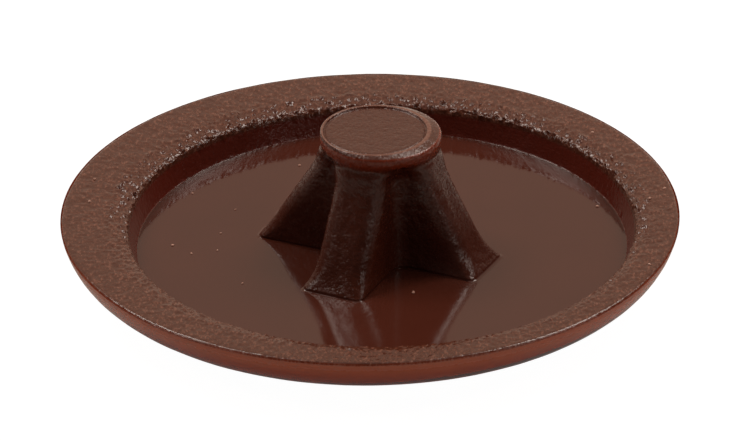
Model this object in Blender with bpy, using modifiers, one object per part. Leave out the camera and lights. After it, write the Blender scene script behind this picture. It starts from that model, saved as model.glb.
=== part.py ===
"""A push-in screw cover cap, moulded in one piece.

A thin round head has a domed crown on its outer side and a shallow recess on its inner side.
From the recess floor rises a plug of four ribs, which presses into the cross recess of a screw.
The cap lies on its crown with the plug upward, as it would come to rest on a table.

Metres, +Z up. The origin is the middle of the small flat on the crown.
"""

import math
from typing import NamedTuple

import bmesh
import bpy
from mathutils import Vector

MM = 0.001

# Head, outer side. Heights inside the head are measured from the flat rim face.
HEAD_RADIUS = 6.0 * MM
EDGE_ROUNDING = 0.05 * MM
SIDE_LEAN = math.radians(11)
SHOULDER_RADIUS = 1.05 * MM
CROWN_RADIUS = 29.6 * MM
CROWN_FLAT_RADIUS = 1.5 * MM

# Head, inner side. The core that shaped it and the plug sat a little off the head's centre.
CORE_SHIFT = Vector((0.225 * MM, -0.265 * MM))
FLOOR_RADIUS = 4.77 * MM
RECESS_DEPTH = 0.56 * MM
WALL_DRAFT = math.radians(18.5)
RIM_ROUNDING = 0.17 * MM
FLOOR_ROUNDING = 0.05 * MM
CORNER_WEB = 0.37 * MM

# Slope at which the rounding of the recess's rim runs out into the rim face.
RIM_RUN_OUT = math.radians(15)

# Plug. Heights on it are measured from the recess floor.
PLUG_HEIGHT = 2.54 * MM
PLUG_ROOT = 0.2 * MM
COLLAR_RADIUS = 1.175 * MM
COLLAR_HEIGHT = 0.2 * MM
COLLAR_FADE = 0.48 * MM
TIP_BEVEL_HEIGHT = 0.11 * MM
TIP_LIP_RADIUS = 1.12 * MM
TIP_LIP_DROP = 0.03 * MM
TIP_FACE_RADIUS = 1.02 * MM
TIP_FACE_SHIFT = Vector((-0.11 * MM, 0.01 * MM))

# Ribs of the plug. RIB_EASE sets how softly their slope runs out at the top.
RIB_TURN = math.radians(-24)
RIB_TOP_REACH = 1.15 * MM
RIB_TOP_WIDTH = 1.04 * MM
RIB_EASE = 0.11
CORE_FOOT_WIDTH = 1.24 * MM
TOP_CORNER_ROUNDING = 0.24 * MM
FOOT_CORNER_ROUNDING = 0.1 * MM
VALLEY_ROUNDING = 0.28 * MM
FOOT_FLARE_HEIGHT = 0.6 * MM
SIDE_FLARE_SHARE = 0.6

# How finely the round shapes are divided.
TURN_STEPS = 96
CORNER_POINTS = 4
VALLEY_POINTS = 6
SIDE_POINTS = 2
FOOT_SECTIONS = (0.0, 0.25, 0.5, 0.75, 1.0)
SPREAD_SECTIONS = (0.4, 0.75, 1.0)
FADE_SECTIONS = (0.25, 0.5, 0.75, 1.0)
SHARP_ANGLE = math.radians(40)

PLASTIC_COLOUR = (0.1, 0.018, 0.009, 1.0)
PLASTIC_ROUGHNESS = 0.35


class Rib(NamedTuple):
    """One rib at its foot: its reach from the plug's axis, its width, its offset sideways, how
    far its end is turned from square, and how far its end flares there."""

    reach: float
    width: float
    offset: float
    slant: float
    flare: float


# Counter-clockwise from the rib on the right. A positive offset is counter-clockwise too, and a
# positive slant makes the counter-clockwise corner the farther one.
RIBS = (
    Rib(2.28 * MM, 1.18 * MM, -0.02 * MM, math.radians(4), 0.13 * MM),
    Rib(2.30 * MM, 1.14 * MM, 0.0, 0.0, 0.08 * MM),
    Rib(2.41 * MM, 1.18 * MM, 0.01 * MM, math.radians(-2), 0.06 * MM),
    Rib(2.265 * MM, 1.21 * MM, -0.045 * MM, math.radians(3), 0.08 * MM),
)


def arc(centre, radius, start, end, points):
    """Points along an arc in a plane, both ends included."""
    angles = [start + (end - start) * i / (points - 1) for i in range(points)]
    return [Vector((centre[0] + radius * math.cos(a), centre[1] + radius * math.sin(a))) for a in angles]


def dome_centre():
    """Height of the dome's centre: the dome passes CORNER_WEB under the edge of the recess floor."""
    return math.sqrt(CROWN_RADIUS**2 - FLOOR_RADIUS**2) - RECESS_DEPTH - CORNER_WEB


def head_height():
    """From the flat on the crown up to the rim face."""
    return math.sqrt(CROWN_RADIUS**2 - CROWN_FLAT_RADIUS**2) - dome_centre()


def shoulder(side_top):
    """Centre and radius of the arc that joins the leaning side to the dome."""
    normal = Vector((math.cos(SIDE_LEAN), -math.sin(SIDE_LEAN)))
    down = Vector((-math.sin(SIDE_LEAN), -math.cos(SIDE_LEAN)))
    dome = Vector((0.0, dome_centre()))
    top = side_top - dome
    largest = (CROWN_RADIUS**2 - top.length_squared) / (2 * (CROWN_RADIUS - top.dot(normal)))
    radius = min(SHOULDER_RADIUS, largest)
    start = top - radius * normal
    along = start.dot(down)
    inside = start.length_squared - (CROWN_RADIUS - radius) ** 2
    travel = math.sqrt(max(along**2 - inside, 0.0)) - along
    return start + max(travel, 0.0) * down + dome, radius


def head_profile():
    """Half section of the solid head, from the middle of the rim plane round to the crown."""
    edge_centre = (HEAD_RADIUS - EDGE_ROUNDING, -EDGE_ROUNDING)
    edge = arc(edge_centre, EDGE_ROUNDING, math.pi / 2, -SIDE_LEAN, 4)
    centre, radius = shoulder(edge[-1])
    dome = dome_centre()
    join = math.atan2(centre.y - dome, centre.x)
    flat = -math.acos(CROWN_FLAT_RADIUS / CROWN_RADIUS)
    side = arc(centre, radius, -SIDE_LEAN, join, 8)
    crown = arc((0.0, dome), CROWN_RADIUS, join, flat, 6)
    return [(0.0, 0.0)] + edge + side + crown[1:] + [(0.0, -head_height())]


def recess_profile():
    """Half section of the recess, from above the rim plane down to the floor."""
    cos_draft = math.cos(WALL_DRAFT)
    sin_draft = math.sin(WALL_DRAFT)
    rim_z = -RIM_ROUNDING * math.cos(RIM_RUN_OUT)
    travel = (RECESS_DEPTH + rim_z + RIM_ROUNDING * sin_draft) / cos_draft
    rim_x = FLOOR_RADIUS + travel * sin_draft + RIM_ROUNDING * cos_draft
    rim = arc((rim_x, rim_z), RIM_ROUNDING, math.pi / 2, math.pi - WALL_DRAFT, 7)
    corner_x = FLOOR_RADIUS - FLOOR_ROUNDING * (1 - sin_draft) / cos_draft
    corner_z = FLOOR_ROUNDING - RECESS_DEPTH
    corner = arc((corner_x, corner_z), FLOOR_ROUNDING, -WALL_DRAFT, -math.pi / 2, 4)
    above = RECESS_DEPTH
    return [(0.0, above), (rim_x, above)] + rim + corner + [(0.0, -RECESS_DEPTH)]


def turned(name, profile, centre, collection):
    """A solid turned about a vertical axis; its rim plane is put at the height of the rim face."""
    mesh = bpy.data.meshes.new(name)
    points = [(x, 0.0, z) for x, z in profile]
    edges = [(i, i + 1) for i in range(len(points) - 1)]
    mesh.from_pydata(points, edges, [])
    item = bpy.data.objects.new(name, mesh)
    collection.objects.link(item)
    item.location = (centre.x, centre.y, head_height())
    turn = item.modifiers.new("Turn", "SCREW")
    turn.axis = "Z"
    turn.angle = math.tau
    turn.steps = TURN_STEPS
    turn.render_steps = TURN_STEPS
    turn.use_merge_vertices = True
    turn.merge_threshold = 0.001 * MM
    turn.use_normal_calculate = True
    return item


def rib_top():
    """Height at which the ribs have all but stopped spreading and begin to fade into the collar."""
    return PLUG_HEIGHT - COLLAR_HEIGHT - COLLAR_FADE


def rib_spread(height):
    """How far the ribs have spread: about 1 at the foot, easing out to nothing above the rib top."""
    left = 1 - height / rib_top()
    return (left + math.sqrt(left**2 + RIB_EASE**2)) / 2


def rib_corners(rib, direction, height):
    """The two corners of a rib's end in plan, clockwise one first, each with its rounding."""
    spread = rib_spread(height)
    near_foot = max(1 - height / FOOT_FLARE_HEIGHT, 0.0) ** 2
    reach = RIB_TOP_REACH + (rib.reach - rib.flare - RIB_TOP_REACH) * spread + rib.flare * near_foot
    side_flare = SIDE_FLARE_SHARE * rib.flare
    foot_half = rib.width / 2 - side_flare
    half = RIB_TOP_WIDTH / 2 + (foot_half - RIB_TOP_WIDTH / 2) * spread + side_flare * near_foot
    rounding = TOP_CORNER_ROUNDING + (FOOT_CORNER_ROUNDING - TOP_CORNER_ROUNDING) * spread
    along = Vector((math.cos(direction), math.sin(direction)))
    side = Vector((-along.y, along.x))
    end = reach * along + rib.offset * spread * side
    half_end = half * (side + math.tan(rib.slant) * spread * along)
    return [(end - half_end, rounding, CORNER_POINTS), (end + half_end, rounding, CORNER_POINTS)]


def valley_corner(direction, height):
    """The inner corner in plan between a rib and the next one counter-clockwise."""
    spread = rib_spread(height)
    half = (RIB_TOP_WIDTH + (CORE_FOOT_WIDTH - RIB_TOP_WIDTH) * spread) / 2
    middle = direction + math.pi / 4
    corner = Vector((math.cos(middle), math.sin(middle))) * half * math.sqrt(2)
    return corner, VALLEY_ROUNDING, VALLEY_POINTS


def corner_arc(before, corner, after, rounding, points):
    """An arc that touches both sides of a corner, no larger than the sides allow."""
    to_before = before - corner
    to_after = after - corner
    half_angle = to_before.angle(to_after) / 2
    room = 0.48 * min(to_before.length, to_after.length)
    setback = min(rounding / math.tan(half_angle), room)
    radius = setback * math.tan(half_angle)
    start = corner + to_before.normalized() * setback
    middle = (to_before.normalized() + to_after.normalized()).normalized()
    centre = corner + middle * radius / math.sin(half_angle)
    turn = math.copysign(math.pi - 2 * half_angle, to_after.cross(to_before))
    first = math.atan2(start.y - centre.y, start.x - centre.x)
    return arc(centre, radius, first, first + turn, points)


def ribbed_section(height):
    """Outline of the plug in plan where its ribs stand out, counter-clockwise."""
    corners = []
    for number, rib in enumerate(RIBS):
        direction = RIB_TURN + number * math.pi / 2
        corners += rib_corners(rib, direction, height)
        corners.append(valley_corner(direction, height))
    arcs = []
    for i, (corner, rounding, points) in enumerate(corners):
        after = corners[(i + 1) % len(corners)][0]
        arcs.append(corner_arc(corners[i - 1][0], corner, after, rounding, points))
    outline = []
    for i, bend in enumerate(arcs):
        onward = arcs[(i + 1) % len(arcs)][0]
        shares = [(k + 1) / (SIDE_POINTS + 1) for k in range(SIDE_POINTS)]
        outline += bend + [bend[-1].lerp(onward, share) for share in shares]
    return outline


def round_section(outline, radius):
    """A circle with its points in the same directions as those of the outline."""
    return [point.normalized() * radius for point in outline]


def faded_section(share):
    """Height and outline where the ribs fade into the round collar, from 0 at the rib top to 1."""
    height = rib_top() + COLLAR_FADE * share
    ribbed = ribbed_section(height)
    circle = round_section(ribbed, COLLAR_RADIUS)
    blend = share**2 * (3 - 2 * share)
    return height, [a.lerp(b, blend) for a, b in zip(ribbed, circle)]


def plug_sections():
    """The plug's outlines from root to tip, each with its height above the recess floor."""
    foot = [FOOT_FLARE_HEIGHT * share for share in FOOT_SECTIONS]
    spread = [FOOT_FLARE_HEIGHT + (rib_top() - FOOT_FLARE_HEIGHT) * share for share in SPREAD_SECTIONS]
    sections = [(-PLUG_ROOT, ribbed_section(0.0))]
    sections += [(height, ribbed_section(height)) for height in foot + spread]
    sections += [faded_section(share) for share in FADE_SECTIONS]
    outline = sections[-1][1]
    sections.append((PLUG_HEIGHT - TIP_BEVEL_HEIGHT, outline))
    lip = [point + TIP_FACE_SHIFT / 2 for point in round_section(outline, TIP_LIP_RADIUS)]
    sections.append((PLUG_HEIGHT - TIP_LIP_DROP, lip))
    face = [point + TIP_FACE_SHIFT for point in round_section(outline, TIP_FACE_RADIUS)]
    sections.append((PLUG_HEIGHT, face))
    return sections


def lofted_plug(name, collection):
    """The plug as a loft through unlike sections: a ribbed cross below and a circle at the tip."""
    mesh = bpy.data.meshes.new(name)
    build = bmesh.new()
    floor = head_height() - RECESS_DEPTH
    rings = []
    for height, outline in plug_sections():
        places = [point + CORE_SHIFT for point in outline]
        rings.append([build.verts.new((place.x, place.y, floor + height)) for place in places])
    for lower, upper in zip(rings, rings[1:]):
        for i, corner in enumerate(lower):
            after = (i + 1) % len(lower)
            build.faces.new((corner, lower[after], upper[after], upper[i]))
    build.faces.new(rings[0][::-1])
    build.faces.new(rings[-1])
    build.to_mesh(mesh)
    build.free()
    item = bpy.data.objects.new(name, mesh)
    collection.objects.link(item)
    return item


def combine(target, tool, operation, name):
    """A Boolean between two solids; the tool is kept as a hidden helper."""
    modifier = target.modifiers.new(name, "BOOLEAN")
    modifier.operation = operation
    modifier.solver = "EXACT"
    modifier.object = tool
    tool.hide_render = True
    tool.display_type = "WIRE"


def finish(item, material):
    """Turns the combined solid into a mesh of its own, smooth except at its sharp edges."""
    graph = bpy.context.evaluated_depsgraph_get()
    mesh = bpy.data.meshes.new_from_object(item.evaluated_get(graph))
    mesh.name = item.name
    item.modifiers.clear()
    item.data = mesh
    mesh.shade_smooth()
    mesh.set_sharp_from_angle(angle=SHARP_ANGLE)
    mesh.materials.clear()
    mesh.materials.append(material)


def plastic():
    """Red-brown moulded plastic."""
    material = bpy.data.materials.new("red_brown_plastic")
    material.use_nodes = True
    shader = material.node_tree.nodes["Principled BSDF"]
    shader.inputs["Base Color"].default_value = PLASTIC_COLOUR
    shader.inputs["Roughness"].default_value = PLASTIC_ROUGHNESS
    shader.inputs["Metallic"].default_value = 0.0
    return material


def new_collection(name):
    """A collection of the scene."""
    collection = bpy.data.collections.new(name)
    bpy.context.scene.collection.children.link(collection)
    return collection


def main():
    for item in list(bpy.data.objects):
        bpy.data.objects.remove(item, do_unlink=True)
    parts = new_collection("screw_cover_cap")
    cutters = new_collection("cutters")
    cap = turned("screw_cover_cap", head_profile(), Vector((0.0, 0.0)), parts)
    recess = turned("recess_cutter", recess_profile(), CORE_SHIFT, cutters)
    plug = lofted_plug("plug_form", cutters)
    combine(cap, recess, "DIFFERENCE", "Recess")
    combine(cap, plug, "UNION", "Plug")
    finish(cap, plastic())


main()
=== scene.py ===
"""Looks of the screw cover cap: one finely modelled surface over the CAD solid, its plastic, and the set.

Lengths are millimetres and become metres where a mesh or an object is made; only the lights, the
table's width and the camera's clipping distances are in metres from the start. Heights on the plug are
measured from the recess floor, and all others from the lowest point of the cap.
"""

import math

import bpy
import numpy as np
from mathutils import Matrix, Vector

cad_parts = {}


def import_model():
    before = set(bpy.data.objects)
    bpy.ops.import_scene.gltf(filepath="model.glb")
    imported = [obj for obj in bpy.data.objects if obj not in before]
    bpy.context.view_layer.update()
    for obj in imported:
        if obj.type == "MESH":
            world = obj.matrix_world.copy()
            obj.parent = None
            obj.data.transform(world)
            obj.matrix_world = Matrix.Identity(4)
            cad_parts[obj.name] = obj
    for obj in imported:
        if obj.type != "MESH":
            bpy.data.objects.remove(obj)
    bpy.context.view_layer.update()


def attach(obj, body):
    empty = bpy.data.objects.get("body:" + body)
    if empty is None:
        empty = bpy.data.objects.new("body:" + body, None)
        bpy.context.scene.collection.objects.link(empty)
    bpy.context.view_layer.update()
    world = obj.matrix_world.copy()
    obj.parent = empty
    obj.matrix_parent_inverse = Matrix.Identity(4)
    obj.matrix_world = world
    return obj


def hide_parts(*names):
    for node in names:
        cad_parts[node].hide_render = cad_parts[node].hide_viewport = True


MM = 0.001

# Sizes that the solid has too. DOME_Z is the height of the dome's centre above the rim.
RIM_Z = 1.27884
HEAD_RADIUS = 6.0
SIDE_LEAN = math.radians(11)
SHOULDER_RADIUS = 1.05
CROWN_RADIUS = 29.6
CROWN_FLAT_RADIUS = 1.5
DOME_Z = 28.28313
CORE = np.array([0.225, -0.265])
FLOOR_RADIUS = 4.77
RECESS_DEPTH = 0.56
FLOOR_Z = RIM_Z - RECESS_DEPTH
WALL_DRAFT = math.radians(18.5)
RIM_ROUNDING = 0.17
RIM_RUN_OUT = math.radians(15)
PLUG_HEIGHT = 2.54
TIP_Z = FLOOR_Z + PLUG_HEIGHT
COLLAR_RADIUS = 1.175
COLLAR_HEIGHT = 0.2
COLLAR_FADE = 0.48
RIB_TOP = PLUG_HEIGHT - COLLAR_HEIGHT - COLLAR_FADE
RIB_TOP_REACH = 1.15
RIB_TOP_WIDTH = 1.04
RIB_EASE = 0.11
CORE_FOOT_WIDTH = 1.24
VALLEY_ROUNDING = 0.28
FOOT_FLARE_HEIGHT = 0.6
SIDE_FLARE_SHARE = 0.6
RIB_TURN = math.radians(-24)
TIP_FACE_SHIFT = np.array([-0.11, 0.01])

# Finer shapes than the solid has. The outer edge is rounder, and the recess floor meets the wall more
# sharply. The rib corners are softer and reach as far, each foot has a toe on its clockwise side, a
# neck runs round under the collar, and an inner share of the rim sags a little.
EDGE_ROUNDING = 0.08
FLOOR_ROUNDING = 0.03
SOFT_CORNER_ROUNDING = 0.36
SOFT_CORNER_REACH = 0.05
FOOT_CORNER_ROUNDING = 0.12
TOE_LENGTH = 0.09
TOE_HEIGHT = 0.35
NECK_DEPTH = 0.035
NECK_HEIGHT = 2.20
NECK_REACH = 0.15
INNER_RIM = 0.28
INNER_SAG = 0.035

# Each rib counter-clockwise from the one on the right: reach, width, offset, slant and flare.
RIBS = (
    (2.28, 1.18, -0.02, math.radians(4), 0.13),
    (2.30, 1.14, 0.0, 0.0, 0.08),
    (2.41, 1.18, 0.01, math.radians(-2), 0.06),
    (2.265, 1.21, -0.045, math.radians(3), 0.08),
)

# Points of a section of the plug: on a rib's corner, in a valley, and on the straight that follows a
# rib's first corner, its second corner and a valley.
CORNER_POINTS = 8
VALLEY_POINTS = 12
STRAIGHT_POINTS = (6, 7, 7)

# Columns of the surface on the plug and floor, and how many finer ones each has at the rim.
COLUMNS = len(RIBS) * (2 * CORNER_POINTS + VALLEY_POINTS + sum(STRAIGHT_POINTS))
FINER = 6

# The largest share of a side that a rounding may take.
LARGEST_SETBACK = 0.48

# The tip's face lies below its lip, from a small first ring to a last one, and a ring of the tip counts
# as lip down to LIP_DROP.
TIP_FACE_RADII = (0.05, 0.94)
TIP_FACE_DROP = 0.030
LIP_DROP = 0.06

# Rings of the tip from its face outward: radius, share of the face's shift and drop below the top.
TIP_PROFILE = (
    (0.950, 1.0, 0.033), (0.965, 1.0, 0.046), (0.980, 1.0, 0.043), (0.995, 1.0, 0.022),
    (1.008, 1.0, 0.006), (1.022, 0.97, 0.0), (1.050, 0.88, 0.0), (1.064, 0.82, 0.005),
    (1.085, 0.72, 0.015), (1.110, 0.54, 0.030), (1.135, 0.33, 0.045), (1.155, 0.13, 0.058),
    (1.167, 0.04, 0.072), (1.175, 0.0, 0.105), (1.175, 0.0, 0.150),
)

# Heights on the plug: rings stand closer below the first, and the finish is the collar's above the second.
CLOSE_RINGS_TOP = 0.2
COLLAR_FINISH = RIB_TOP + 0.2

# How much closer the floor's rings stand at the plug, the share of the rim's width at which its outer
# edge begins, the radii of the rings on the crown's flat, and the head's own middle.
FLOOR_CROWDING = 1.2
OUTER_EDGE = 0.93
FLAT_RADII = (1.0, 0.5, 0.1)
MIDDLE = np.zeros(2)

# Height of each texture on each kind of surface: grain, ridges that run along the section, a broad
# unevenness, and scattered lumps and pits.
TEXTURE = {
    "tip": (0.0016, 0.0, 0.002, 0.003),
    "lip": (0.0010, 0.0, 0.003, 0.0),
    "collar": (0.0014, 0.0, 0.005, 0.0),
    "rib": (0.0050, 0.0, 0.010, 0.016),
    "floor": (0.0, 0.0, 0.0, 0.0),
    "foot": (0.0060, 0.0020, 0.001, 0.030),
    "wall": (0.0025, 0.0015, 0.002, 0.003),
    "inner edge": (0.0110, 0.0090, 0.002, 0.070),
    "inner rim": (0.0120, 0.0020, 0.002, 0.095),
    "rim": (0.0060, 0.0, 0.003, 0.020),
    "outer edge": (0.0024, 0.0005, 0.008, 0.010),
    "side": (0.0006, 0.0, 0.003, 0.0),
    "crown": (0.0006, 0.0, 0.002, 0.0),
}

# How many rings to each side the heights of the textures are averaged over.
BLEND = 2

# Sizes of the features of the textures. Grain, lumps and pits are drawn out from front to back, and
# ridges are drawn out along the section from noise round a circle.
DRAWN_OUT = (1.0, 0.7, 1.0)
GRAIN_SIZE = 0.06
FINE_GRAIN_SIZE = 0.035
RIDGE_CIRCLE = 5.0
RIDGE_DRAW = 0.25
RIDGE_SIZE = 0.05
FINE_RIDGE_SIZE = 0.03
BROAD_SIZE = 0.4
LUMP_SIZE = 0.062
LUMP_LEVEL = 0.25
PIT_SIZE = 0.085
PIT_LEVEL = 0.5

# Lumps have only this share of their height on the near side. It grows to all of it on the far side,
# between this distance before the plug's axis and the same distance behind it.
NEAR_SIDE_LUMPS = 0.3
LUMP_CHANGE = 1.5

# The floor has no texture. It is taken to reach a margin past its edge and a margin below itself, and
# the texture of the wall's foot grows over TEXTURE_START in height.
FLOOR_MARGIN = 0.1
FLOOR_DEPTH_MARGIN = 0.01
TEXTURE_START = 0.006

# Large odd factors that scatter neighbouring whole-numbered cells.
CELL_FACTORS = (374761393, 668265263, 2147483647)
SEED_FACTOR = 974634777
SCATTER_FACTOR = 1274126177

# Specks of dust: place in plan, height, half length, half width and turn in degrees.
SPECKS = (
    (-1.38, 3.12, FLOOR_Z, 0.035, 0.025, 20), (0.82, -2.17, FLOOR_Z, 0.04, 0.03, 70),
    (4.45, 1.26, FLOOR_Z, 0.04, 0.03, 0), (-3.84, -0.15, FLOOR_Z, 0.035, 0.03, 40),
    (-3.47, -0.49, FLOOR_Z, 0.03, 0.02, 110), (-2.91, 0.32, FLOOR_Z, 0.025, 0.02, 0),
    (-2.97, -0.38, FLOOR_Z, 0.03, 0.02, 60), (-2.47, -1.73, FLOOR_Z, 0.03, 0.02, 15),
    (-3.48, 1.99, FLOOR_Z, 0.03, 0.025, 90), (-2.63, 1.30, FLOOR_Z, 0.025, 0.02, 30),
    (-1.73, 0.62, FLOOR_Z, 0.03, 0.025, 0), (4.41, 3.31, RIM_Z, 0.035, 0.03, 0),
    (5.75, 0.92, RIM_Z, 0.04, 0.03, 20), (5.45, 0.52, RIM_Z, 0.04, 0.03, 50),
    (5.36, -2.18, RIM_Z, 0.035, 0.03, 100), (-5.38, 1.57, RIM_Z, 0.03, 0.03, 0),
    (-5.46, 0.65, RIM_Z, 0.035, 0.03, 80),
)

# Layers of a speck from the bottom up: share of its outline, and height as a share of its half width.
SPECK_LAYERS = ((1.0, -0.004), (0.92, 0.35), (0.6, 0.8))
SPECK_SIDES = 10

# Colours of the plastic and the dust. Those in pairs are the ends of a slight variation.
FLOOR_BROWN = ((0.056, 0.0138, 0.0080, 1), (0.066, 0.0164, 0.0096, 1))
# Painted glow: the wall is painted redder than the floor, standing in for light that passes through the thin
# rim.
WALL_RED_PAINTED_GLOW = ((0.086, 0.0095, 0.0035, 1), (0.100, 0.0115, 0.0045, 1))
PLUG_BROWN = ((0.050, 0.0105, 0.0046, 1), (0.070, 0.0142, 0.0062, 1))
RIM_BROWN = ((0.064, 0.0162, 0.0080, 1), (0.088, 0.0240, 0.0116, 1))
# Painted glow: the thin side and the collar are painted orange for light that passes through the thin
# plastic, and the side is painted lighter still towards its top edge.
SIDE_PAINTED_GLOW = ((0.240, 0.0330, 0.0100, 1), (0.280, 0.0410, 0.0130, 1))
EDGE_PAINTED_GLOW = (0.370, 0.0860, 0.0330, 1)
# Painted highlight: a pale ring painted on the tip's lip.
LIP_PAINTED_HIGHLIGHT = (0.22, 0.095, 0.065, 1)
# Painted glints: pale specks painted where the rim's grain is high.
RIM_PAINTED_GLINTS = (0.21, 0.085, 0.055, 1)
DUST_PALE = ((0.30, 0.13, 0.09, 1), (0.55, 0.34, 0.26, 1))
PLASTIC_IOR = 1.45

# How the noise in the plastic's material is drawn out from front to back.
SHADER_DRAWN_OUT = (1.0, 0.5, 1.0)

# How strongly the grain shows in the bump of each part, and how strongly everywhere; then how strongly
# the mottle shows on the plug, and the depth of the plastic's and the dust's bump.
GRAIN_BUMP = {"rim": 1.4, "tip": 0.3, "plug": 1.8, "wall": 1.5}
GRAIN_BUMP_EVERYWHERE = 0.04
MOTTLE_BUMP = 2.6
PLASTIC_BUMP_DEPTH = 0.008
DUST_BUMP_DEPTH = 0.004

# The table: half its width in metres, how far it lies below the cap so that no faces coincide, its
# paper, the strength of its white, and the share of white that the camera and the reflections see.
TABLE_HALF_WIDTH = 0.3
TABLE_GAP = 0.004
PAPER = (0.66, 0.62, 0.56, 1)
WHITE_STRENGTH = 1.2
WHITE_SEEN = 0.82
WHITE_MIRRORED = 0.1

# Soft lights: name, azimuth and elevation in degrees, distance, width and height in metres, radiance
# and colour. Azimuth counts counter-clockwise from +X.
WARM = (1.0, 0.88, 0.80)
PALE_ORANGE = (1.0, 0.75, 0.57)
SOFTBOXES = (
    ("right_softbox", -12, 42, 0.10, 0.020, 0.020, 7.5, WARM),
    ("left_softbox", 190, 40, 0.10, 0.020, 0.020, 8.0, WARM),
    ("right_glint", 35, 55, 0.12, 0.045, 0.045, 10.0, WARM),
    ("left_glint", 145, 55, 0.12, 0.045, 0.045, 10.0, WARM),
    ("low_front_glint", -46, 27, 0.10, 0.018, 0.018, 5.0, WARM),
    ("top_softbox", 90, 78, 0.12, 0.12, 0.10, 0.4, WARM),
    ("back_reflector", 90, 30, 0.16, 0.36, 0.18, 0.58, PALE_ORANGE),
)
ROOM_COLOUR = (1.0, 0.93, 0.85, 1)
ROOM_STRENGTH = 0.05

# The camera stands back from the middle of the rim and is moved a little right and down.
CAMERA_ELEVATION = math.radians(28.144)
CAMERA_ROLL = math.radians(-0.649)
CAMERA_DISTANCE = 179.88
CAMERA_RIGHT = 0.0988
CAMERA_DOWN = 0.1226
CAMERA_LENS = 444.7
CAMERA_SENSOR = 36.0


def smooth(value, low, high):
    """0 below low, 1 above high, with a smooth rise between."""
    t = np.clip((value - low) / (high - low), 0, 1)
    return t * t * (3 - 2 * t)


def lattice(cells, seed):
    """A repeatable value from -1 to 1 for each whole-numbered cell."""
    mixed = seed * SEED_FACTOR
    for axis, factor in enumerate(CELL_FACTORS):
        mixed = mixed + cells[..., axis] * factor
    mixed = (mixed ^ (mixed >> 13)) * SCATTER_FACTOR
    mixed = mixed ^ (mixed >> 16)
    return (mixed & 0xFFFFFF) / 0x7FFFFF - 1.0


def noise(points, size, seed):
    """Smooth value noise with features of about the given size."""
    places = points / size
    cells = np.floor(places).astype(np.int64)
    part = places - cells
    part = part * part * (3 - 2 * part)
    total = 0.0
    for dx in (0, 1):
        for dy in (0, 1):
            for dz in (0, 1):
                weight = np.abs(1 - dx - part[:, 0]) * np.abs(1 - dy - part[:, 1])
                weight = weight * np.abs(1 - dz - part[:, 2])
                total = total + weight * lattice(cells + (dx, dy, dz), seed)
    return total


def arc(centre, radius, start, end, points):
    """Points along an arc in a plane, both ends included."""
    angles = np.linspace(start, end, points)
    return np.stack([centre[0] + radius * np.cos(angles), centre[1] + radius * np.sin(angles)], axis=1)


def corner_arc(before, corner, after, rounding, points):
    """An arc that touches both sides of a corner, no larger than the sides allow."""
    to_before = before - corner
    to_after = after - corner
    length_before = np.linalg.norm(to_before)
    length_after = np.linalg.norm(to_after)
    to_before = to_before / length_before
    to_after = to_after / length_after
    half_angle = math.acos(np.clip(to_before @ to_after, -1, 1)) / 2
    setback = min(rounding / math.tan(half_angle), LARGEST_SETBACK * min(length_before, length_after))
    radius = setback * math.tan(half_angle)
    start = corner + to_before * setback
    middle = to_before + to_after
    centre = corner + middle / np.linalg.norm(middle) * radius / math.sin(half_angle)
    cross = to_before[0] * to_after[1] - to_before[1] * to_after[0]
    turn = math.copysign(math.pi - 2 * half_angle, -cross)
    first = math.atan2(start[1] - centre[1], start[0] - centre[0])
    return arc(centre, radius, first, first + turn, points)


def spread_at(height):
    """How far the ribs have spread at a height: about 1 at the foot, easing out above the rib top."""
    left = 1 - height / RIB_TOP
    return (left + math.sqrt(left**2 + RIB_EASE**2)) / 2


def rib_corners(rib, direction, height):
    """The two corners of a rib's end in plan, clockwise one first, each with its rounding and points."""
    reach_foot, width, offset, slant, flare = rib
    spread = spread_at(height)
    near_foot = max(1 - height / FOOT_FLARE_HEIGHT, 0.0) ** 2
    reach = RIB_TOP_REACH + (reach_foot - flare - RIB_TOP_REACH) * spread + flare * near_foot
    reach = reach + SOFT_CORNER_REACH * min(height / FOOT_FLARE_HEIGHT, 1.0)
    side_flare = SIDE_FLARE_SHARE * flare
    half = (RIB_TOP_WIDTH + (width - 2 * side_flare - RIB_TOP_WIDTH) * spread) / 2 + side_flare * near_foot
    rounding = SOFT_CORNER_ROUNDING - (SOFT_CORNER_ROUNDING - FOOT_CORNER_ROUNDING) * near_foot
    toe = TOE_LENGTH * max(1 - height / TOE_HEIGHT, 0.0) ** 2
    along = np.array([math.cos(direction), math.sin(direction)])
    side = np.array([-along[1], along[0]])
    end = reach * along + offset * spread * side
    half_end = half * (side + math.tan(slant) * spread * along)
    return [(end - half_end - toe * side, rounding, CORNER_POINTS), (end + half_end, rounding, CORNER_POINTS)]


def ribbed_section(height):
    """Outline of the plug in plan at a height above the floor, counter-clockwise."""
    core_width = RIB_TOP_WIDTH + (CORE_FOOT_WIDTH - RIB_TOP_WIDTH) * spread_at(height)
    corners = []
    for number, rib in enumerate(RIBS):
        direction = RIB_TURN + number * math.pi / 2
        corners += rib_corners(rib, direction, height)
        middle = direction + math.pi / 4
        valley = core_width / math.sqrt(2) * np.array([math.cos(middle), math.sin(middle)])
        corners.append((valley, VALLEY_ROUNDING, VALLEY_POINTS))
    arcs = []
    for i, (corner, rounding, points) in enumerate(corners):
        after = corners[(i + 1) % len(corners)][0]
        arcs.append(corner_arc(corners[i - 1][0], corner, after, rounding, points))
    outline = []
    for i, bend in enumerate(arcs):
        onward = arcs[(i + 1) % len(arcs)][0]
        count = STRAIGHT_POINTS[i % len(STRAIGHT_POINTS)]
        shares = np.arange(1, count + 1)[:, None] / (count + 1)
        outline += [bend, bend[-1] + (onward - bend[-1]) * shares]
    return np.concatenate(outline)


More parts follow.
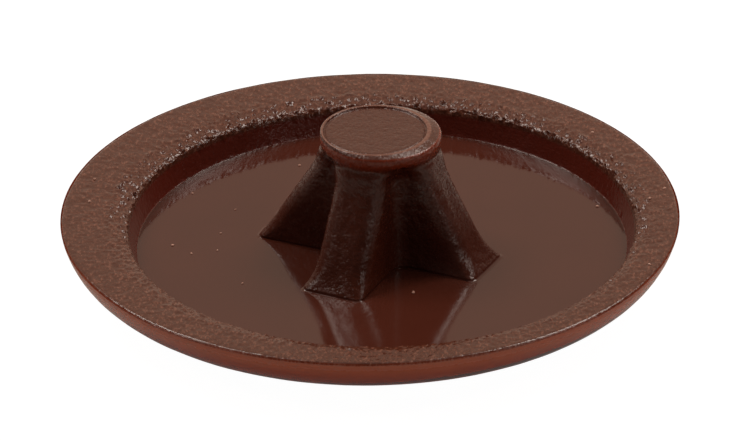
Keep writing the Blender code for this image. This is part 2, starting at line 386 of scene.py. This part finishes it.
def plug_section(height):
    """Outline of the plug at a height: ribbed, then faded into the round collar."""
    outline = ribbed_section(min(height, RIB_TOP + COLLAR_FADE))
    share = float(smooth(height, RIB_TOP, RIB_TOP + COLLAR_FADE))
    neck = NECK_DEPTH * float(smooth(abs(height - NECK_HEIGHT), NECK_REACH, 0.0))
    turns = directions(outline)
    collar = (COLLAR_RADIUS - neck) * turns
    return outline + (collar - outline) * share - neck * turns * (1 - share)


def directions(outline):
    """Unit vectors from the plug's axis to each point of an outline."""
    return outline / np.linalg.norm(outline, axis=1)[:, None]


def level(outline, z):
    """An outline in plan as points at one height."""
    return np.column_stack([outline, np.full(len(outline), z)])


def circle(centre, radius, turns, z):
    """Points of a level circle at the given unit vectors."""
    return level(centre + radius * turns, z)


def even_turns(count, start):
    """Unit vectors evenly round a circle."""
    angles = start + np.arange(count) * math.tau / count
    return np.stack([np.cos(angles), np.sin(angles)], axis=1)


def plug_rings():
    """Rings from the tip's face down to the foot of the ribs, each with its kind of finish."""
    turns = directions(plug_section(PLUG_HEIGHT))
    rings = []
    for radius in np.linspace(*TIP_FACE_RADII, 17):
        rings.append((circle(CORE + TIP_FACE_SHIFT, radius, turns, TIP_Z - TIP_FACE_DROP), "tip"))
    for radius, share, drop in TIP_PROFILE:
        kind = "lip" if drop < LIP_DROP else "collar"
        rings.append((circle(CORE + share * TIP_FACE_SHIFT, radius, turns, TIP_Z - drop), kind))
    fade = np.linspace(RIB_TOP + COLLAR_FADE, RIB_TOP, 17)
    ribbed = np.linspace(RIB_TOP, CLOSE_RINGS_TOP, 42)[1:]
    foot = np.linspace(CLOSE_RINGS_TOP, 0.0, 7)[1:]
    for height in np.concatenate([fade, ribbed, foot]):
        kind = "collar" if height > COLLAR_FINISH else "rib"
        rings.append((level(plug_section(height) + CORE, FLOOR_Z + height), kind))
    return rings


def floor_rings(foot):
    """Rings over the recess floor, from the plug's foot to the edge of the floor, and the first angle."""
    outline = foot[:, :2] - CORE
    angles = np.unwrap(np.arctan2(outline[:, 1], outline[:, 0]))
    start = float(np.mean(angles - np.arange(COLUMNS) * math.tau / COLUMNS))
    turns = even_turns(COLUMNS, start)
    edge = FLOOR_RADIUS - FLOOR_ROUNDING * (1 - math.sin(WALL_DRAFT)) / math.cos(WALL_DRAFT)
    rings = []
    for share in np.linspace(0, 1, 23)[1:] ** FLOOR_CROWDING:
        rings.append((level(CORE + outline + (edge * turns - outline) * share, FLOOR_Z), "floor"))
    return rings, start


def wall_profiles():
    """The floor's rounding, the wall and the rim's inner rounding, as radii and heights from the rim."""
    cos_draft = math.cos(WALL_DRAFT)
    sin_draft = math.sin(WALL_DRAFT)
    rim_z = -RIM_ROUNDING * math.cos(RIM_RUN_OUT)
    rim_x = FLOOR_RADIUS + (RECESS_DEPTH + rim_z) * sin_draft / cos_draft + RIM_ROUNDING / cos_draft
    foot_x = FLOOR_RADIUS - FLOOR_ROUNDING * (1 - sin_draft) / cos_draft
    foot = arc((foot_x, FLOOR_ROUNDING - RECESS_DEPTH), FLOOR_ROUNDING, -math.pi / 2, -WALL_DRAFT, 4)
    rounding = arc((rim_x, rim_z), RIM_ROUNDING, math.pi - WALL_DRAFT, math.pi / 2 + RIM_RUN_OUT, 12)
    rounding[:, 1] -= INNER_SAG * np.linspace(0, 1, 12)
    wall = foot[-1] + (rounding[0] - foot[-1]) * np.linspace(0, 1, 9)[1:-1, None]
    return foot, wall, rounding


def rim_kind(share):
    """The kind of finish at a share of the rim's width, from its inner side."""
    if share <= INNER_RIM:
        return "inner rim"
    if share < OUTER_EDGE:
        return "rim"
    return "outer edge"


def rim_rings(start):
    """Rings of the wall, the rim and the outer edge, and where the side begins."""
    turns = even_turns(COLUMNS * FINER, start)
    foot, wall, rounding = wall_profiles()
    rings = []
    for kind, profile in (("foot", foot), ("wall", wall), ("inner edge", rounding)):
        rings += [(circle(CORE, x, turns, RIM_Z + z), kind) for x, z in profile]
    edge = arc((HEAD_RADIUS - EDGE_ROUNDING, -EDGE_ROUNDING), EDGE_ROUNDING, math.pi / 2, -SIDE_LEAN, 6)
    inner = circle(CORE, rounding[-1][0], turns, RIM_Z)
    outer = circle(MIDDLE, edge[0][0], turns, RIM_Z)
    inner_shares = np.linspace(0, INNER_RIM, 12)[1:]
    outer_shares = np.linspace(INNER_RIM, 1, 17)[1:-1]
    for share in np.concatenate([inner_shares, outer_shares]):
        sag = INNER_SAG * max(1 - share / INNER_RIM, 0.0) ** 2
        rings.append((inner + (outer - inner) * share - (0, 0, sag), rim_kind(share)))
    rings += [(circle(MIDDLE, x, turns, RIM_Z + z), "outer edge") for x, z in edge]
    return rings, edge[-1]


def side_rings(start, side_top):
    """Rings of the side and shoulder, and of the domed outer side down to the small flat."""
    turns = even_turns(COLUMNS, start)
    centre, join = shoulder_centre(side_top)
    shoulder = arc(centre, SHOULDER_RADIUS, -SIDE_LEAN, join, 18)
    side = side_top + (shoulder[0] - side_top) * np.linspace(0, 1, 4)[1:-1, None]
    flat_angle = -math.acos(CROWN_FLAT_RADIUS / CROWN_RADIUS)
    dome = arc((0.0, DOME_Z), CROWN_RADIUS, join, flat_angle, 16)[1:]
    flat = [(radius, -RIM_Z) for radius in FLAT_RADII]
    rings = []
    for kind, profile in (("side", side), ("side", shoulder), ("crown", dome), ("crown", flat)):
        rings += [(circle(MIDDLE, x, turns, RIM_Z + z), kind) for x, z in profile]
    return rings


def shoulder_centre(side_top):
    """Centre of the arc that joins the leaning side to the dome, and the angle where they join."""
    normal = np.array([math.cos(SIDE_LEAN), -math.sin(SIDE_LEAN)])
    down = np.array([-math.sin(SIDE_LEAN), -math.cos(SIDE_LEAN)])
    dome = np.array([0.0, DOME_Z])
    start = side_top - dome - SHOULDER_RADIUS * normal
    along = start @ down
    inside = start @ start - (CROWN_RADIUS - SHOULDER_RADIUS) ** 2
    travel = math.sqrt(max(along**2 - inside, 0.0)) - along
    centre = start + travel * down
    return centre + dome, math.atan2(centre[1], centre[0])


def loft(rings):
    """Vertices, faces and the heights of the textures at each vertex of the closed surface."""
    points = np.concatenate([ring for ring, kind in rings])
    heights = np.array([TEXTURE[kind] for ring, kind in rings])
    padded = np.pad(heights, ((BLEND, BLEND), (0, 0)), mode="edge")
    window = 2 * BLEND + 1
    heights = sum(padded[k:k + len(rings)] for k in range(window)) / window
    texture = [np.tile(height, (len(ring), 1)) for height, (ring, kind) in zip(heights, rings)]
    starts = np.cumsum([0] + [len(ring) for ring, kind in rings])
    faces = []
    for k in range(len(rings) - 1):
        faces += bridge(starts[k], len(rings[k][0]), starts[k + 1], len(rings[k + 1][0]))
    first = len(points)
    last = starts[-2]
    points = np.vstack([points, rings[0][0].mean(axis=0), rings[-1][0].mean(axis=0)])
    texture = np.vstack(texture + [heights[0], heights[-1]])
    faces += [(first, i, (i + 1) % COLUMNS) for i in range(COLUMNS)]
    faces += [(first + 1, last + (i + 1) % COLUMNS, last + i) for i in range(COLUMNS)]
    return points, faces, texture


def bridge(upper, a, lower, b):
    """Faces between rings of a and b points, where one may have FINER times as many as the other."""
    if a == b:
        return [(upper + i, lower + i, lower + (i + 1) % b, upper + (i + 1) % a) for i in range(a)]
    faces = []
    middle = FINER // 2
    if a < b:
        for i in range(a):
            here, after = upper + i, upper + (i + 1) % a
            fine = [lower + (i * FINER + k) % b for k in range(FINER + 1)]
            faces += [(here, fine[k], fine[k + 1]) for k in range(middle)]
            faces.append((here, fine[middle], fine[middle + 1], after))
            faces += [(after, fine[k], fine[k + 1]) for k in range(middle + 1, FINER)]
        return faces
    for i in range(b):
        here, after = lower + i, lower + (i + 1) % b
        fine = [upper + (i * FINER + k) % a for k in range(FINER + 1)]
        faces += [(here, fine[k + 1], fine[k]) for k in range(middle)]
        faces.append((here, after, fine[middle + 1], fine[middle]))
        faces += [(after, fine[k + 1], fine[k]) for k in range(middle + 1, FINER)]
    return faces


def relief(points, texture):
    """Height of the surface texture at each point."""
    drawn = points * DRAWN_OUT
    grain = noise(drawn, GRAIN_SIZE, 3) + 0.7 * noise(drawn, FINE_GRAIN_SIZE, 5)
    around = points[:, :2] - CORE
    radius = np.linalg.norm(around, axis=1)
    travel = RIDGE_DRAW * (radius + points[:, 2])
    along = np.column_stack([RIDGE_CIRCLE * around / radius[:, None], travel])
    ridges = noise(along, RIDGE_SIZE, 7) + 0.5 * noise(along, FINE_RIDGE_SIZE, 9)
    broad = noise(points, BROAD_SIZE, 11)
    lumps = np.maximum(noise(drawn, LUMP_SIZE, 13) - LUMP_LEVEL, 0)
    lumps = lumps - np.maximum(noise(drawn, PIT_SIZE, 15) - PIT_LEVEL, 0)
    far_side = NEAR_SIDE_LUMPS + (1 - NEAR_SIDE_LUMPS) * smooth(around[:, 1], -LUMP_CHANGE, LUMP_CHANGE)
    height = grain * texture[:, 0] + ridges * texture[:, 1] + broad * texture[:, 2]
    height = height + lumps * texture[:, 3] * far_side
    on_floor = (radius < FLOOR_RADIUS + FLOOR_MARGIN) & (points[:, 2] > FLOOR_Z - FLOOR_DEPTH_MARGIN)
    return height * np.where(on_floor, smooth(points[:, 2], FLOOR_Z, FLOOR_Z + TEXTURE_START), 1.0)


def new_piece(name, points, faces, material):
    """An object from vertices in millimetres."""
    mesh = bpy.data.meshes.new(name)
    mesh.from_pydata((points * MM).tolist(), [], faces)
    mesh.update()
    mesh.materials.append(material)
    piece = bpy.data.objects.new(name, mesh)
    bpy.context.scene.collection.objects.link(piece)
    return piece


def cap_surface(material):
    """The whole cap as one closed surface with its texture in the mesh."""
    plug = plug_rings()
    floor, start = floor_rings(plug[-1][0])
    rim, side_top = rim_rings(start)
    points, faces, texture = loft(plug + floor + rim + side_rings(start, side_top))
    piece = new_piece("cap_surface", points, faces, material)
    mesh = piece.data
    normals = np.zeros(len(points) * 3, np.float32)
    mesh.vertex_normals.foreach_get("vector", normals)
    points = points + normals.reshape(-1, 3) * relief(points, texture)[:, None]
    mesh.vertices.foreach_set("co", (points * MM).astype(np.float32).ravel())
    mesh.update()
    mesh.shade_smooth()
    mesh.set_sharp_from_angle(angle=math.radians(50))
    return piece


def speck_points(x, y, z, length, width, degrees):
    """Vertices of one speck: its layers, its top and the middle of its underside."""
    turn = math.radians(degrees)
    angles = np.arange(SPECK_SIDES) * math.tau / SPECK_SIDES
    points = []
    for share, rise in SPECK_LAYERS:
        u = share * length * np.cos(angles)
        v = share * width * np.sin(angles)
        across = x + u * math.cos(turn) - v * math.sin(turn)
        deep = y + u * math.sin(turn) + v * math.cos(turn)
        points += level(np.column_stack([across, deep]), z + rise * width).tolist()
    return points + [[x, y, z + width], [x, y, z + SPECK_LAYERS[0][1] * width]]


def speck_faces(first):
    """Faces of one speck whose vertices start at first."""
    sides = [(i, (i + 1) % SPECK_SIDES) for i in range(SPECK_SIDES)]
    faces = []
    low = first
    for _ in SPECK_LAYERS[1:]:
        high = low + SPECK_SIDES
        faces += [(low + i, low + j, high + j, high + i) for i, j in sides]
        low = high
    top = low + SPECK_SIDES
    faces += [(low + i, low + j, top) for i, j in sides]
    faces += [(first + j, first + i, top + 1) for i, j in sides]
    return faces


def cap_specks(material):
    """Small low grains that lie on the floor and rim."""
    points = []
    faces = []
    for speck in SPECKS:
        faces += speck_faces(len(points))
        points += speck_points(*speck)
    piece = new_piece("cap_specks", np.array(points), faces, material)
    piece.data.shade_smooth()
    return piece


class Nodes:
    """Short names for building a node tree."""

    def __init__(self, tree):
        self.tree = tree
        tree.nodes.clear()

    def add(self, kind, values=(), **settings):
        node = self.tree.nodes.new(kind)
        for name, value in settings.items():
            setattr(node, name, value)
        for socket, value in dict(values).items():
            if isinstance(value, bpy.types.NodeSocket):
                self.tree.links.new(value, node.inputs[socket])
            else:
                node.inputs[socket].default_value = value
        return node

    def place(self):
        """The place on the object in millimetres."""
        metres = self.add("ShaderNodeTexCoord").outputs["Object"]
        return self.add("ShaderNodeVectorMath", {0: metres, "Scale": 1 / MM}, operation="SCALE").outputs[0]

    def math(self, operation, a, b=0.0):
        return self.add("ShaderNodeMath", {0: a, 1: b}, operation=operation).outputs[0]

    def total(self, *parts):
        result = parts[0]
        for part in parts[1:]:
            result = self.math("ADD", result, part)
        return result

    def product(self, a, b):
        return self.math("MULTIPLY", a, b)

    def larger(self, a, b):
        return self.math("MAXIMUM", a, b)

    def rise(self, value, low, high, start=0.0, end=1.0):
        values = {"Value": value, "From Min": low, "From Max": high, "To Min": start, "To Max": end}
        return self.add("ShaderNodeMapRange", values, interpolation_type="SMOOTHSTEP").outputs[0]

    def fall(self, value, low, high):
        return self.rise(value, low, high, 1.0, 0.0)

    def noise(self, place, scale, detail, roughness=0.5):
        values = {"Vector": place, "Scale": scale, "Detail": detail, "Roughness": roughness}
        return self.add("ShaderNodeTexNoise", values).outputs["Fac"]

    def mix(self, share, a, b):
        return self.add("ShaderNodeMix", {0: share, 6: a, 7: b}, data_type="RGBA").outputs[2]


def new_material(name):
    """A material with an empty node tree, and the short names for building it."""
    material = bpy.data.materials.new(name)
    material.use_nodes = True
    return material, Nodes(material.node_tree)


def surface_parts(n, place):
    """Masks from 0 to 1 of the parts of the cap, worked out from the place on it."""
    x, y, z = n.add("ShaderNodeSeparateXYZ", {0: place}).outputs
    across = n.math("SUBTRACT", x, float(CORE[0]))
    deep = n.math("SUBTRACT", y, float(CORE[1]))
    radius = n.math("SQRT", n.total(n.product(across, across), n.product(deep, deep)))
    outside = n.rise(radius, 3.0, 3.2)
    inside = n.math("SUBTRACT", 1.0, outside)
    in_recess = n.product(n.fall(radius, 5.2, 5.3), n.fall(z, RIM_Z - 0.2, RIM_Z - 0.12))
    above_floor = n.rise(z, FLOOR_Z + 0.0005, FLOOR_Z + 0.005)
    tip = n.rise(z, TIP_Z - 0.06, TIP_Z - 0.05)
    below_tip = n.math("SUBTRACT", 1.0, tip)
    beyond = n.larger(n.rise(radius, 5.4, 5.5), n.fall(z, FLOOR_Z - 0.06, FLOOR_Z - 0.02))
    side = n.product(beyond, n.fall(z, RIM_Z - 0.06, RIM_Z - 0.005))
    return {
        "rim": n.product(outside, n.rise(z, RIM_Z - 0.2, RIM_Z - 0.12)),
        "wall": n.product(n.product(outside, in_recess), above_floor),
        "plug": n.product(inside, n.rise(z, FLOOR_Z + 0.01, FLOOR_Z + 0.05)),
        "tip": tip,
        "lip": n.rise(z, TIP_Z - 0.012, TIP_Z - 0.003),
        "collar": n.product(n.rise(z, TIP_Z - 0.36, TIP_Z - 0.22), below_tip),
        "side": side,
        # Painted glow: the side's upper part, where it is painted lighter towards the thin edge.
        "glow": n.product(side, n.rise(z, RIM_Z - 0.5, RIM_Z - 0.1)),
    }


def plastic_patterns(n, place):
    """The noise that varies the plastic's colour, finish and bump."""
    drawn = n.add("ShaderNodeVectorMath", {0: place, 1: SHADER_DRAWN_OUT}, operation="MULTIPLY").outputs[0]
    grain = n.noise(drawn, 20.0, 2.0, 0.6)
    return {
        "broad": n.noise(place, 0.9, 3.0),
        "mottle": n.noise(place, 7.0, 3.0, 0.6),
        "grain": grain,
        "spots": n.rise(grain, 0.38, 0.62),
    }


def plastic_colour(n, part, pattern):
    """Brown on the floor; redder on the wall and orange on the thin side and collar, as painted glow of light
    through the thin plastic; a painted highlight on the lip and painted glints speckled on the rim.
    """
    # The wall's redder colour is painted glow.
    colour = n.mix(part["wall"], n.mix(pattern["broad"], *FLOOR_BROWN), n.mix(pattern["broad"], *WALL_RED_PAINTED_GLOW))
    colour = n.mix(part["plug"], colour, n.mix(pattern["mottle"], *PLUG_BROWN))
    rim_and_tip = n.larger(part["rim"], n.product(part["tip"], 0.5))
    colour = n.mix(rim_and_tip, colour, n.mix(pattern["spots"], *RIM_BROWN))
    # Painted glow on the collar and the side, lighter towards the side's top edge.
    collar_and_side = n.larger(n.product(part["collar"], 0.5), n.product(part["side"], 0.9))
    painted_glow_colour = n.mix(n.product(part["glow"], 0.7), n.mix(pattern["broad"], *SIDE_PAINTED_GLOW), EDGE_PAINTED_GLOW)
    colour = n.mix(collar_and_side, colour, painted_glow_colour)
    # Painted highlight on the lip.
    colour = n.mix(n.product(part["lip"], 0.6), colour, LIP_PAINTED_HIGHLIGHT)
    # Painted glints: pale specks where the rim's grain is high.
    painted_glints = n.product(part["rim"], n.rise(pattern["grain"], 0.56, 0.70, 0.0, 0.6))
    return n.mix(painted_glints, colour, RIM_PAINTED_GLINTS)


def plastic_roughness(n, part, pattern):
    """Glossy on the floor and duller, in spots, on the plug, wall, rim and side."""
    return n.total(
        n.rise(pattern["broad"], 0.2, 0.8, 0.06, 0.10),
        n.product(part["plug"], n.rise(pattern["mottle"], 0.35, 0.65, 0.08, 0.24)),
        n.product(part["wall"], 0.2),
        n.product(part["rim"], n.rise(pattern["spots"], 0.0, 1.0, 0.06, 0.16)),
        n.product(part["side"], 0.16),
    )


def plastic_bump(n, part, pattern):
    """The surface's direction, unsettled by the grain and, on the plug, by the mottle."""
    shares = [n.product(part[name], share) for name, share in GRAIN_BUMP.items()]
    strength = n.total(*shares, GRAIN_BUMP_EVERYWHERE)
    mottle = n.product(n.product(pattern["mottle"], part["plug"]), MOTTLE_BUMP)
    height = n.total(n.product(pattern["grain"], strength), mottle)
    values = {"Strength": 0.8, "Distance": PLASTIC_BUMP_DEPTH * MM, "Height": height}
    return n.add("ShaderNodeBump", values).outputs[0]


def plastic():
    """Red-brown moulded plastic: glossy on the floor, finely textured on the rim, plug and tip."""
    material, n = new_material("red_brown_plastic")
    place = n.place()
    part = surface_parts(n, place)
    pattern = plastic_patterns(n, place)
    shader = n.add("ShaderNodeBsdfPrincipled", {
        "Base Color": plastic_colour(n, part, pattern),
        "Roughness": plastic_roughness(n, part, pattern),
        "Normal": plastic_bump(n, part, pattern),
        "IOR": PLASTIC_IOR,
    })
    n.add("ShaderNodeOutputMaterial", {0: shader.outputs[0]})
    return material


def dust():
    """Pale dust with a slightly uneven colour and finish."""
    material, n = new_material("pale_dust")
    fine = n.noise(n.place(), 30.0, 3.0, 0.6)
    bump = n.add("ShaderNodeBump", {"Strength": 0.5, "Distance": DUST_BUMP_DEPTH * MM, "Height": fine})
    shader = n.add("ShaderNodeBsdfPrincipled", {
        "Base Color": n.mix(fine, *DUST_PALE),
        "Roughness": n.rise(fine, 0.2, 0.8, 0.3, 0.6),
        "Normal": bump.outputs[0],
    })
    n.add("ShaderNodeOutputMaterial", {0: shader.outputs[0]})
    return material


def white_table():
    """Paper that the camera and, more weakly, reflections see as white, and that is clear from below."""
    material, n = new_material("white_table")
    path = n.add("ShaderNodeLightPath").outputs
    bounced = n.larger(path["Is Glossy Ray"], path["Is Transmission Ray"])
    seen = n.total(n.product(path["Is Camera Ray"], WHITE_SEEN), n.product(bounced, WHITE_MIRRORED))
    paper = n.add("ShaderNodeBsdfDiffuse", {"Color": PAPER})
    white = n.add("ShaderNodeEmission", {"Color": (1, 1, 1, 1), "Strength": WHITE_STRENGTH})
    surface = n.add("ShaderNodeMixShader", {0: seen, 1: paper.outputs[0], 2: white.outputs[0]})
    clear = n.add("ShaderNodeBsdfTransparent")
    under = n.add("ShaderNodeNewGeometry").outputs["Backfacing"]
    both = n.add("ShaderNodeMixShader", {0: under, 1: surface.outputs[0], 2: clear.outputs[0]})
    n.add("ShaderNodeOutputMaterial", {0: both.outputs[0]})
    return material


def table_top():
    """A white table that keeps the cap's soft shadow."""
    mesh = bpy.data.meshes.new("table_top")
    half = TABLE_HALF_WIDTH
    z = -TABLE_GAP * MM
    corners = [(-half, -half, z), (half, -half, z), (half, half, z), (-half, half, z)]
    mesh.from_pydata(corners, [], [(0, 1, 2, 3)])
    mesh.materials.append(white_table())
    table = bpy.data.objects.new("table_top", mesh)
    bpy.context.scene.collection.objects.link(table)


def softbox(name, azimuth, elevation, distance, width, height, radiance, colour):
    """A rectangular soft light aimed at the cap."""
    light = bpy.data.lights.new(name, "AREA")
    light.shape = "RECTANGLE"
    light.size = width
    light.size_y = height
    light.energy = radiance * math.pi * width * height
    light.color = colour
    item = bpy.data.objects.new(name, light)
    a = math.radians(azimuth)
    e = math.radians(elevation)
    away = Vector((math.cos(a) * math.cos(e), math.sin(a) * math.cos(e), math.sin(e)))
    item.location = away * distance
    item.rotation_mode = "QUATERNION"
    item.rotation_quaternion = away.to_track_quat("Z", "Y")
    item.visible_camera = False
    bpy.context.scene.collection.objects.link(item)


def lights():
    """Small soft lights at the sides and front, one overhead and a warm reflector behind, in a dim room."""
    for settings in SOFTBOXES:
        softbox(*settings)
    world = bpy.data.worlds.new("room")
    bpy.context.scene.world = world
    world.use_nodes = True
    n = Nodes(world.node_tree)
    room = n.add("ShaderNodeBackground", {"Color": ROOM_COLOUR, "Strength": ROOM_STRENGTH})
    n.add("ShaderNodeOutputWorld", {0: room.outputs[0]})


def camera():
    """A long lens looking down at the cap, as in the photograph."""
    back = Vector((0.0, -math.cos(CAMERA_ELEVATION), math.sin(CAMERA_ELEVATION)))
    level_right = Vector((1.0, 0.0, 0.0))
    level_up = back.cross(level_right)
    right = math.cos(CAMERA_ROLL) * level_right + math.sin(CAMERA_ROLL) * level_up
    up = math.cos(CAMERA_ROLL) * level_up - math.sin(CAMERA_ROLL) * level_right
    data = bpy.data.cameras.new("camera")
    data.lens = CAMERA_LENS
    data.sensor_width = CAMERA_SENSOR
    data.clip_start = 0.01
    data.clip_end = 5.0
    item = bpy.data.objects.new("camera", data)
    place = Vector((0.0, 0.0, RIM_Z)) + back * CAMERA_DISTANCE + right * CAMERA_RIGHT - up * CAMERA_DOWN
    item.matrix_world = Matrix.Translation(place * MM) @ Matrix((right, up, back)).transposed().to_4x4()
    bpy.context.scene.collection.objects.link(item)
    bpy.context.scene.camera = item


def main():
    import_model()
    surface = cap_surface(plastic())
    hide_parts("screw_cover_cap")
    specks = cap_specks(dust())
    for piece in (surface, specks):
        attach(piece, "root")
    table_top()
    lights()
    camera()
    bpy.context.scene.view_settings.view_transform = "Standard"


main()
